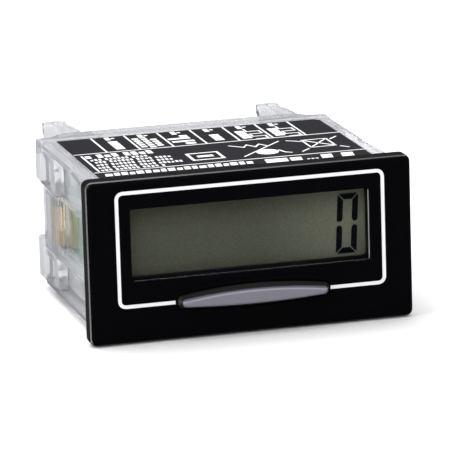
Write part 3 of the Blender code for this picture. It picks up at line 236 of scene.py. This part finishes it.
def make_surface_group():
    """Moulded surface: fine grain for a bump, broad unevenness for the roughness, and a slight cast."""
    tree, start, end = group(
        "moulded_surface",
        {"Colour": (0.5, 0.5, 0.5), "Roughness": 0.4, "Grain size": 0.2, "Uneven": 0.1, "Cast": 0.05},
        {"Colour": "NodeSocketColor", "Roughness": "NodeSocketFloat", "Height": "NodeSocketFloat"},
    )
    where = object_coordinates(tree)
    broad = add(tree, "ShaderNodeTexNoise", in_Scale=BROAD_SCALE, in_Detail=4.0, in_Roughness=0.6)
    tree.links.new(where, broad.inputs["Vector"])
    grain = add(tree, "ShaderNodeTexNoise", in_Detail=3.0, in_Roughness=0.6)
    tree.links.new(where, grain.inputs["Vector"])
    tree.links.new(math_node(tree, "DIVIDE", 1.0, start.outputs["Grain size"]), grain.inputs["Scale"])
    centred = math_node(tree, "SUBTRACT", broad.outputs[0], 0.5)
    uneven = math_node(tree, "MULTIPLY", centred, start.outputs["Uneven"])
    roughness = math_node(tree, "ADD", uneven, start.outputs["Roughness"])
    tree.links.new(roughness, end.inputs["Roughness"])
    cast = math_node(tree, "MULTIPLY_ADD", centred, start.outputs["Cast"], 1.0)
    tree.links.new(scaled_colour(tree, start.outputs["Colour"], cast), end.inputs["Colour"])
    tree.links.new(grain.outputs[0], end.inputs["Height"])
    return tree


SURFACE = make_surface_group()

# Materials


def moulded(name, colour, roughness, grain=0.2, bump=0.02, uneven=0.1, cast=0.05, specular=0.5, **plain):
    """A material of the moulded kind; plain gives constants on the shader's own sockets."""
    made = bpy.data.materials.new(name)
    made.use_nodes = True
    tree = made.node_tree
    shader = tree.nodes["Principled BSDF"]
    surface = add(tree, "ShaderNodeGroup", node_tree=SURFACE)
    surface.inputs["Colour"].default_value = (*colour, 1.0)
    surface.inputs["Roughness"].default_value = roughness
    surface.inputs["Grain size"].default_value = grain
    surface.inputs["Uneven"].default_value = uneven
    surface.inputs["Cast"].default_value = cast
    tree.links.new(surface.outputs["Colour"], shader.inputs["Base Color"])
    tree.links.new(surface.outputs["Roughness"], shader.inputs["Roughness"])
    relief = add(tree, "ShaderNodeBump", in_Strength=1.0, in_Distance=bump * MM)
    tree.links.new(surface.outputs["Height"], relief.inputs["Height"])
    tree.links.new(relief.outputs["Normal"], shader.inputs["Normal"])
    shader.inputs["Specular IOR Level"].default_value = specular
    for key, value in plain.items():
        shader.inputs[key.replace("_", " ")].default_value = value
    return made


def surface_node(tree):
    """The moulded surface in a material's tree."""
    return next(node for node in tree.nodes if node.type == "GROUP")


def shade(material, factor):
    """Scales a moulded material's colour by a factor socket, for painted light and shade."""
    tree = material.node_tree
    shaded = scaled_colour(tree, surface_node(tree).outputs["Colour"], factor)
    tree.links.new(shaded, tree.nodes["Principled BSDF"].inputs["Base Color"])


def lcd_face():
    """The cell over its reflector, with painted light and shade: darker to the left and at the top, lighter
    to the right, with a fine grain.
    """
    made = moulded("lcd_face", LCD_SHADED_LEFT, 0.3, 0.5, 0.0005, 0.05, 0.05, 0.2)
    tree = made.node_tree
    low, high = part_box("lcd_cell")
    where = position(tree)
    across = ramp(tree, where["X"], ((low.x + high.x) / 2 / MM, high.x / MM))
    upward = ramp(tree, where["Z"], ((low.z + high.z) / 2 / MM, high.z / MM), (1.0, LCD_TOP_SHADE))
    grain = add(tree, "ShaderNodeTexNoise", in_Scale=1 / LCD_GRAIN_SIZE, in_Detail=1.0)
    tree.links.new(object_coordinates(tree), grain.inputs["Vector"])
    speckle = math_node(tree, "MULTIPLY_ADD", grain.outputs[0], LCD_GRAIN, 1 - LCD_GRAIN / 2)
    tone = mixed_colour(tree, across, LCD_SHADED_LEFT, LCD_LIT_RIGHT)
    shaded = scaled_colour(tree, tone, product(tree, upward, speckle))
    tree.links.new(shaded, surface_node(tree).inputs["Colour"])
    return made


def clear_clip():
    """Clip plastic, a darker copy of the clear plastic as painted shade, painted paler towards the front
    ends of its arms as painted light.
    """
    made = moulded("clear_clip", CLEAR_CLIP, 0.12, 0.6, 0.003, 0.03, 0.01,
                   Transmission_Weight=0.75, IOR=1.2)
    tree = made.node_tree
    arm_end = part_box("mounting_clip")[0].y / MM
    # Painted light towards the arms' front ends.
    ends = fade(tree, "Y", arm_end + ARM_END[0], arm_end + ARM_END[1])
    shade(made, math_node(tree, "MULTIPLY_ADD", ends, ARM_END_PAINTED_LIGHT, 1.0))
    return made


def reed_depth(tree, sheet):
    """Upright reeds of uneven width on a sheet: 1 where one stands, 0 between them."""
    along = spot(tree, "Y", REEDS_Y[0] + FRONT, REEDS_Y[0] + REEDS_EDGE + FRONT,
                 REEDS_Y[1] - REEDS_EDGE + FRONT, REEDS_Y[1] + FRONT)
    wobble = add(tree, "ShaderNodeTexNoise", noise_dimensions="1D", in_Scale=1 / REED_PITCH, in_Detail=1.0)
    tree.links.new(position(tree)["Y"], wobble.inputs["W"])
    return product(tree, sheet, along, ramp(tree, wobble.outputs[0], REED_STEP))


def bay_opening(tree, walls, inner):
    """Where the bay's walls are see-through; their inner sheet is so further to the rear."""
    through = spot(tree, "Y", *(y + FRONT for y in OPEN_Y))
    inner_through = spot(tree, "Y", *(y + FRONT for y in INNER_OPEN_Y))
    opened = math_node(tree, "MAXIMUM", through, product(tree, inner_through, inner))
    above = spot(tree, "Z", OPEN_Z[0], OPEN_Z[1], BAY_Z[1] - BAY_EDGE, BAY_Z[1])
    return product(tree, walls, opened, above)


def clear_case():
    """Clear moulding: see-through bay walls with upright reeds inside; painted shade on the reeds, the rear
    and the lower rail, and the see-through walls painted a little paler.
    """
    made = moulded("clear_case", CLEAR_CASE, 0.06, 0.6, 0.002, 0.03, 0.01,
                   Transmission_Weight=0.72, IOR=1.2)
    tree = made.node_tree
    low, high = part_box("case")
    left = low.x / MM + REED_WALL
    right = high.x / MM - REED_WALL
    in_bay = spot(tree, "Z", BAY_Z[0], BAY_Z[0] + BAY_EDGE, BAY_Z[1] - BAY_EDGE, BAY_Z[1])
    middle = spot(tree, "X", left - WALL_EDGE, left, right, right + WALL_EDGE)
    walls = product(tree, in_bay, math_node(tree, "SUBTRACT", 1.0, middle))
    inner = spot(tree, "X", left - SHEET_EDGE[0], left - SHEET_EDGE[1],
                 right + SHEET_EDGE[1], right + SHEET_EDGE[0])
    reeds = reed_depth(tree, product(tree, walls, inner))
    opening = bay_opening(tree, walls, inner)
    gaps = product(tree, opening, math_node(tree, "SUBTRACT", 1.0, reeds))
    solid = math_node(tree, "MULTIPLY_ADD", gaps, -BAY_OPEN, 1.0)
    tree.links.new(solid, tree.nodes["Principled BSDF"].inputs["Alpha"])
    rear = product(tree, spot(tree, "Y", REAR_Y[0] + FRONT, REAR_Y[1] + FRONT), fade(tree, "Z", *REAR_TOP_Z))
    # Painted light and shade: paler see-through walls, and a darker rear, lower rail and reeds.
    tone = math_node(tree, "MULTIPLY_ADD", opening, BAY_PAINTED_PALER, 1.0)
    tone = math_node(tree, "MULTIPLY_ADD", rear, -REAR_SHADE, tone)
    tone = math_node(tree, "MULTIPLY_ADD", fade(tree, "Z", *RAIL_Z), -RAIL_SHADE, tone)
    shade(made, math_node(tree, "MULTIPLY_ADD", reeds, -REED_SHADE, tone))
    relief = next(node for node in tree.nodes if node.type == "BUMP")
    height = math_node(tree, "MULTIPLY_ADD", reeds, REED_RELIEF, surface_node(tree).outputs["Height"])
    tree.links.new(height, relief.inputs["Height"])
    return made


def key_face():
    """The key's face, with a painted highlight line where its upper edge starts to roll back and painted
    shade on the roll.
    """
    made = moulded("key_grey", KEY_GREY, 0.38, 0.3, 0.008)
    tree = made.node_tree
    where = position(tree)
    height = math_node(tree, "MULTIPLY_ADD", product(tree, where["X"], where["X"]), KEY_CURVE, where["Z"])
    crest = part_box("button_face")[1].z / MM - KEY_ROLL
    rise = ramp(tree, height, [crest + step for step in KEY_HIGHLIGHT_RISE])
    fall = ramp(tree, height, [crest + step for step in KEY_HIGHLIGHT_FALL], (1.0, 0.0))
    # Painted highlight along the line, and painted shade over the roll behind it.
    line = math_node(tree, "MULTIPLY_ADD", product(tree, rise, fall), KEY_HIGHLIGHT_PALER, 1.0)
    roll = ramp(tree, height, [crest + step for step in KEY_ROLL_STEP], (1.0, KEY_ROLL_SHADE))
    shade(made, product(tree, line, roll))
    return made


def clear_front():
    """Window with a painted highlight: a thin pale rim where its right and lower edges catch the light."""
    made = moulded("clear_front", WINDOW_TONE, 0.08, 1.0, 0.001, 0.02, 0.01)
    tree = made.node_tree
    low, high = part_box("front_window")
    right = spot(tree, "X", *(high.x / MM - step for step in RIGHT_RIM_STEP))
    lower = fade(tree, "Z", *(low.z / MM + step for step in LOWER_RIM_STEP))
    front = fade(tree, "Y", *(low.y / MM + step for step in FRONT_RIM_STEP))
    edges = math_node(tree, "MAXIMUM", right, math_node(tree, "MULTIPLY", lower, LOWER_RIM))
    rim = product(tree, edges, front)
    alpha = math_node(tree, "MULTIPLY_ADD", rim, RIM_ALPHA - WINDOW_ALPHA, WINDOW_ALPHA)
    tree.links.new(mixed_colour(tree, rim, WINDOW_TONE, RIM_HIGHLIGHT_TONE), surface_node(tree).inputs["Colour"])
    tree.links.new(alpha, tree.nodes["Principled BSDF"].inputs["Alpha"])
    return made


def paint(slot, material):
    """Give a material to every CAD node of a slot of the record."""
    for row in frame["record"]["subparts"]:
        if row["material_slot"] == slot:
            for place in NODES[row["node"]].material_slots:
                place.material = material


paint("black_gloss", moulded("bezel_black", (0.0014, 0.0013, 0.0022), 0.2, 0.25, 0.004, 0.08, 0.2, 0.4))
paint("black_matt", moulded("holder_black", (0.006, 0.006, 0.007), 0.5, 0.2, 0.01))
paint("white_print", moulded("white_print", (0.85, 0.85, 0.87), 0.5, 0.1, 0.006))
paint("key_black", moulded("key_black", (0.022, 0.019, 0.019), 0.35, 0.2, 0.006))
paint("key_grey", key_face())
paint("lcd_black", moulded("segment_black", (0.002, 0.003, 0.007), 0.4, 0.2, 0.001, specular=0.1))
paint("lcd_glass", lcd_face())
paint("reflector_grey", moulded("reflector_grey", (0.42, 0.45, 0.38), 0.35, 0.3, 0.004, Metallic=0.2))
paint("strip_rubber", moulded("strip_rubber", (0.45, 0.2, 0.17), 0.7))
paint("board_green", moulded("board_green", (0.03, 0.25, 0.1), 0.35))
paint("capacitor_yellow", moulded("capacitor_yellow", (0.98, 0.58, 0.01), 0.4))
paint("capacitor_sleeve", moulded("capacitor_sleeve", (0.03, 0.05, 0.13), 0.3))
paint("battery_sleeve", moulded("battery_sleeve", (0.55, 0.57, 0.6), 0.3, Metallic=0.3))
paint("bright_metal", moulded("bright_metal", (0.75, 0.75, 0.72), 0.25, Metallic=1.0))
paint("brass", moulded("brass", (0.62, 0.46, 0.2), 0.3, Metallic=1.0))
paint("block_black", moulded("block_black", (0.02, 0.02, 0.024), 0.45))
paint("label_black", moulded("label_black", (0.0085, 0.008, 0.0125), 0.55, 0.15, 0.004, specular=0.1))
paint("clear_plastic", clear_case())
# The clip gets its darker copy of the clear plastic, which is painted shade.
NODES["mounting_clip"].material_slots[0].material = clear_clip()
paint("clear_window", clear_front())

# Label print: bars and plain figures, in millimetres from the instrument's middle and the bezel's front

LABEL_LOW, LABEL_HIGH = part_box("top_label")
PRINT_LOW, PRINT_HIGH = (corner.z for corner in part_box("label_table_lines"))
CELLS = 8
CELL = (LABEL_HIGH.x - LABEL_LOW.x) / CELLS
STROKE = 0.42
SHORT_BAR = 0.72
WORD_GAP = 0.6
DASH_GAP = 0.42
DASH_END = 3.6


def bar(x, y, width, depth, slant=0.0):
    """A filled bar with its front left corner at x, y; slant moves its rear edge to the right."""
    return [(x, y), (x + width, y), (x + width + slant, y + depth), (x + slant, y + depth)]


def column(x, y, rows, pitch, width, depth):
    """Bars of one size above each other."""
    return [bar(x, y + row * pitch, width, depth) for row in range(rows)]


def stroke(points, width=STROKE, closed=False):
    """Quads along a line of points, with edges at width / 2 beside it along each corner's mitre.

    The mitre at a corner is (n1 + n2) / (1 + n1 . n2) for the unit normals n1 and n2 of its two legs.
    """
    path = np.array(points, float)
    legs = np.roll(path, -1, 0) - path if closed else np.diff(path, axis=0)
    legs /= np.linalg.norm(legs, axis=1)[:, None]
    normals = np.column_stack((-legs[:, 1], legs[:, 0]))
    before = np.roll(normals, 1, 0) if closed else np.vstack((normals[:1], normals))
    after = normals if closed else np.vstack((normals, normals[-1:]))
    mitres = (before + after) / (1 + (before * after).sum(1))[:, None]
    left = path + mitres * width / 2
    right = path - mitres * width / 2
    count = len(path)
    steps = [(i, (i + 1) % count) for i in range(count if closed else count - 1)]
    return [[tuple(right[i]), tuple(right[j]), tuple(left[j]), tuple(left[i])] for i, j in steps]


def ellipse(x, y, half_width, half_depth, steps=20):
    """A filled ellipse."""
    turns = [2 * math.pi * step / steps for step in range(steps)]
    return [(x + half_width * math.cos(t), y + half_depth * math.sin(t)) for t in turns]


def greeked_row(x, y, end, height, pitch=0.92, share=0.62, words=(3, 6, 4, 7)):
    """Short bars of two heights in groups, for a row of small print that isn't readable."""
    made = []
    count = 0
    word = 0
    while x + share * pitch <= end:
        depth = height if (count * 7 + word * 3) % 5 else SHORT_BAR * height
        made.append(bar(x, y, share * pitch, depth))
        count += 1
        x += pitch
        if count == words[word % len(words)]:
            count = 0
            word += 1
            x += WORD_GAP * pitch
    return made


def pulse_train(x_low, x_high, y_low, y_high, pulses=2):
    """A square wave that runs down a cell."""
    step = (y_high - y_low) / (2 * pulses)
    points = []
    for index in range(2 * pulses + 1):
        y = y_high - index * step
        x = x_high if index % 2 else x_low
        points += [(x_low + x_high - x, y), (x, y)] if index else [(x, y)]
    return stroke(points)


def cell_figures():
    """What stands in the cells of the terminal table; left holds each cell's left edge."""
    made = []
    left = [LABEL_LOW.x / MM + index * CELL / MM for index in range(CELLS)]
    for x in left[1:7]:
        made += [bar(x + 2.8, 46.6, 1.1, 2.9), bar(x + 4.2, 47.8, 0.8, 0.8)]
    made += column(left[1] + 2.65, 36.5, 4, 2.25, 2.1, 1.85)
    made += column(left[4] + 2.65, 36.8, 3, 2.25, 2.1, 1.85)
    for index, (rows, start) in enumerate(((5, 36.4), (6, 35.5), (4, 36.6))):
        made += column(left[2] + 0.75 + 1.9 * index, start, rows, 2.1, 1.4, 1.3)
    made.append(bar(left[3] + 3.8, 43.1, 1.8, 2.1))
    made.append(bar(left[3] + 0.6, 41.3, 5.0, 1.5))
    made.append(bar(left[3] + 0.8, 38.3, 5.1, 1.4))
    made.append(bar(left[3] + 3.3, 35.7, 2.3, 1.6))
    for x in left[5:7]:
        for index in range(2):
            made += column(x + 1.2 + 1.15 * index, 36.2, 4, 2.1, 1.0, 1.75)
        made += pulse_train(x + 3.8, x + 6.7, 35.0, 45.8)
    return made


def text_block():
    """Heading and five rows of greeked print, with a border at the left."""
    made = stroke([(-29.2, 32.6), (-29.2, 16.2)])
    made += greeked_row(-28.7, 29.7, -12.0, 3.3, 1.7, 0.72, (1, 3, 7))
    for y, start, end in ((27.0, -28.3, -14.3), (24.5, -27.9, -10.9), (21.7, -28.2, -11.1),
                          (18.9, -28.5, -9.6), (16.4, -28.5, -13.8)):
        made += greeked_row(start, y, end, 1.6)
    return made


def plain_figures():
    """Three plain figures: a box with a bar, an ellipse with strokes, and a box with its diagonals."""
    made = stroke([(-7.2, 18.9), (-0.4, 18.9), (-0.4, 25.6), (-7.2, 25.6)], 0.6, True)
    made.append(bar(-5.6, 21.4, 3.6, 1.7))
    made += stroke([(3.6, 30.3), (6.4, 27.4), (7.6, 29.6), (9.0, 27.0), (10.4, 29.4), (11.8, 26.8)])
    made += stroke([(4.0, 18.2), (15.3, 30.6)])
    made.append(ellipse(10.0, 21.0, 2.5, 2.6))
    made += stroke([(12.8, 22.0), (13.6, 19.2), (14.9, 18.3)])
    made += stroke([(16.9, 30.4), (19.8, 28.2)])
    made += stroke([(20.2, 21.6), (25.8, 21.6), (25.8, 29.3), (20.2, 29.3)], closed=True)
    made += stroke([(20.2, 21.6), (25.8, 29.3)])
    made += stroke([(20.2, 29.3), (25.8, 21.6)])
    made += stroke([(17.2, 18.2), (19.4, 20.6)])
    made += stroke([(26.5, 28.3), (28.6, 30.6)])
    made += stroke([(26.5, 20.6), (28.1, 18.8)])
    return made


def front_row():
    """The row of bold dashes along the front, two blocks, dots and two short bars."""
    made = []
    x = -29.0
    widths = (1.6, 1.2, 1.4, 1.1)
    count = 0
    while x < DASH_END:
        width = widths[count % len(widths)]
        made.append(bar(x, 10.9, width, 2.7 if count % 3 else 2.2, 0.3))
        x += width + DASH_GAP
        count += 1
    made.append(bar(6.7, 10.1, 5.0, 3.4, 0.4))
    made.append(bar(12.3, 10.2, 2.6, 3.0, 0.4))
    for index in range(3):
        made.append(bar(16.0 + 0.95 * index, 10.2, 0.6, 0.7))
    made.append(bar(19.3, 10.1, 2.5, 3.5, 0.5))
    made.append(bar(23.9, 10.1, 2.7, 3.5, 0.5))
    return made


def flat_print(name, outlines, low, high):
    """One mesh of flat outlines in instrument millimetres, raised from low to high."""
    verts, faces = [], []
    for outline in outlines:
        start = len(verts)
        count = len(outline)
        for level in (low, high):
            verts += [(x * MM, y * MM + FRONT_Y, level) for x, y in outline]
        faces.append([start + count + index for index in range(count)])
        faces.append([start + index for index in reversed(range(count))])
        for index in range(count):
            other = (index + 1) % count
            faces.append([start + index, start + other, start + count + other, start + count + index])
    mesh = bpy.data.meshes.new(name)
    mesh.from_pydata(verts, [], faces)
    mesh.materials.append(bpy.data.materials["white_print"])
    made = bpy.data.objects.new(name, mesh)
    bpy.context.scene.collection.objects.link(made)
    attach(made, BODY)


label_outlines = cell_figures() + text_block() + plain_figures() + front_row()
flat_print("label_print", label_outlines, PRINT_LOW, PRINT_HIGH)

# Stage. Names that end in X, Y or Z are parts of a ray's unit direction; other lengths are in metres.

FLOOR_TONE = (0.89, 0.89, 0.89)
FLOOR_HALF = 6.0
FLOOR_DROP = 0.0002
GLOSSY_Y = (-0.3, 0.9)
GLOSSY_TONES = (0.02, 0.07)
CARD_Y = (0.3, 0.42, 0.62, 0.75)
LEFT_CARD_X = (-0.4, -0.6)
LEFT_CARD = 7.0
TOP_CARD_Z = (0.4, 0.6)
TOP_CARD = 4.0


def make_floor():
    """White ground that keeps the shadow."""
    mesh = bpy.data.meshes.new("floor")
    corners = [(x * FLOOR_HALF, y * FLOOR_HALF, 0) for x, y in ((-1, -1), (1, -1), (1, 1), (-1, 1))]
    mesh.from_pydata(corners, [], [(0, 1, 2, 3)])
    floor = bpy.data.objects.new("floor", mesh)
    bpy.context.scene.collection.objects.link(floor)
    floor.location.z = cad_low.z - FLOOR_DROP
    material = bpy.data.materials.new("floor_white")
    material.use_nodes = True
    shader = material.node_tree.nodes["Principled BSDF"]
    shader.inputs["Base Color"].default_value = (*FLOOR_TONE, 1.0)
    shader.inputs["Roughness"].default_value = 1.0
    shader.inputs["Specular IOR Level"].default_value = 0.0
    mesh.materials.append(material)
    floor.visible_glossy = False


def make_world():
    """White for all rays but glossy ones, which see a dim studio with a left and a top card of light."""
    world = bpy.data.worlds.new("studio")
    bpy.context.scene.world = world
    world.use_nodes = True
    tree = world.node_tree
    tree.nodes.clear()
    out = add(tree, "ShaderNodeOutputWorld")
    bright = add(tree, "ShaderNodeBackground", in_Strength=1.0)
    bright.inputs["Color"].default_value = (1.0, 1.0, 1.0, 1.0)
    around = add(tree, "ShaderNodeBackground", in_Strength=1.0)
    where = add(tree, "ShaderNodeTexCoord")
    split = add(tree, "ShaderNodeSeparateXYZ")
    tree.links.new(where.outputs["Generated"], split.inputs[0])
    toward = split.outputs
    behind = ramp(tree, toward["Y"], GLOSSY_Y, GLOSSY_TONES)
    left = ramp(tree, toward["X"], LEFT_CARD_X, (0.0, LEFT_CARD))
    above = ramp(tree, toward["Z"], TOP_CARD_Z, (0.0, TOP_CARD))
    rise = ramp(tree, toward["Y"], CARD_Y[:2])
    fall = ramp(tree, toward["Y"], CARD_Y[2:], (1.0, 0.0))
    cards = product(tree, math_node(tree, "ADD", left, above), rise, fall)
    tree.links.new(math_node(tree, "ADD", behind, cards), around.inputs["Color"])
    path = add(tree, "ShaderNodeLightPath")
    mixed = add(tree, "ShaderNodeMixShader")
    tree.links.new(path.outputs["Is Glossy Ray"], mixed.inputs[0])
    tree.links.new(bright.outputs[0], mixed.inputs[1])
    tree.links.new(around.outputs[0], mixed.inputs[2])
    tree.links.new(mixed.outputs[0], out.inputs["Surface"])


def make_lamp(name, place, aim, width, height, power):
    """A rectangular area lamp, in metres and watts."""
    data = bpy.data.lights.new(name, "AREA")
    data.shape = "RECTANGLE"
    data.size = width
    data.size_y = height
    data.energy = power
    lamp = bpy.data.objects.new(name, data)
    bpy.context.scene.collection.objects.link(lamp)
    lamp.location = place
    toward = Vector(aim) - Vector(place)
    lamp.rotation_euler = toward.to_track_quat("-Z", "Y").to_euler()


make_floor()
make_world()
make_lamp("top_softbox", (-0.15, 0.15, 0.7), (0, 0, 0), 0.6, 0.5, 4.0)
make_lamp("left_softbox", (-0.7, -0.1, 0.35), (0, 0, 0.02), 0.4, 0.5, 1.2)

# Camera: its place, from the middle of the bezel's front, and its turn are fitted to the photograph

CAMERA_PLACE = (-0.2282, -0.8200, 0.2259)
YAW, PITCH, ROLL = math.radians(15.17), math.radians(13.35), math.radians(1.76)
FOCAL_PIXELS = 4082.0
PHOTO_PIXELS = 450.0
SENSOR = 36.0
CLIP_START = 0.05
CLIP_END = 50.0
KEY_PROUD = 0.0021


def make_camera():
    """Camera from the fitted yaw, pitch, roll and focal length."""
    forward = Vector((math.sin(YAW) * math.cos(PITCH), math.cos(YAW) * math.cos(PITCH), -math.sin(PITCH)))
    right = Vector((math.cos(YAW), -math.sin(YAW), 0.0))
    down = forward.cross(right)
    turned_right = right * math.cos(ROLL) + down * math.sin(ROLL)
    turned_down = down * math.cos(ROLL) - right * math.sin(ROLL)
    data = bpy.data.cameras.new("camera")
    data.sensor_width = SENSOR
    data.lens = FOCAL_PIXELS / PHOTO_PIXELS * SENSOR
    data.clip_start = CLIP_START
    data.clip_end = CLIP_END
    camera = bpy.data.objects.new("camera", data)
    bpy.context.scene.collection.objects.link(camera)
    turn = Matrix((turned_right, -turned_down, -forward)).transposed().to_4x4()
    front = Vector((0, cad_low.y + KEY_PROUD, 0))
    camera.matrix_world = Matrix.Translation(Vector(CAMERA_PLACE) + front) @ turn
    bpy.context.scene.camera = camera


make_camera()
bpy.context.scene.view_settings.view_transform = "Standard"
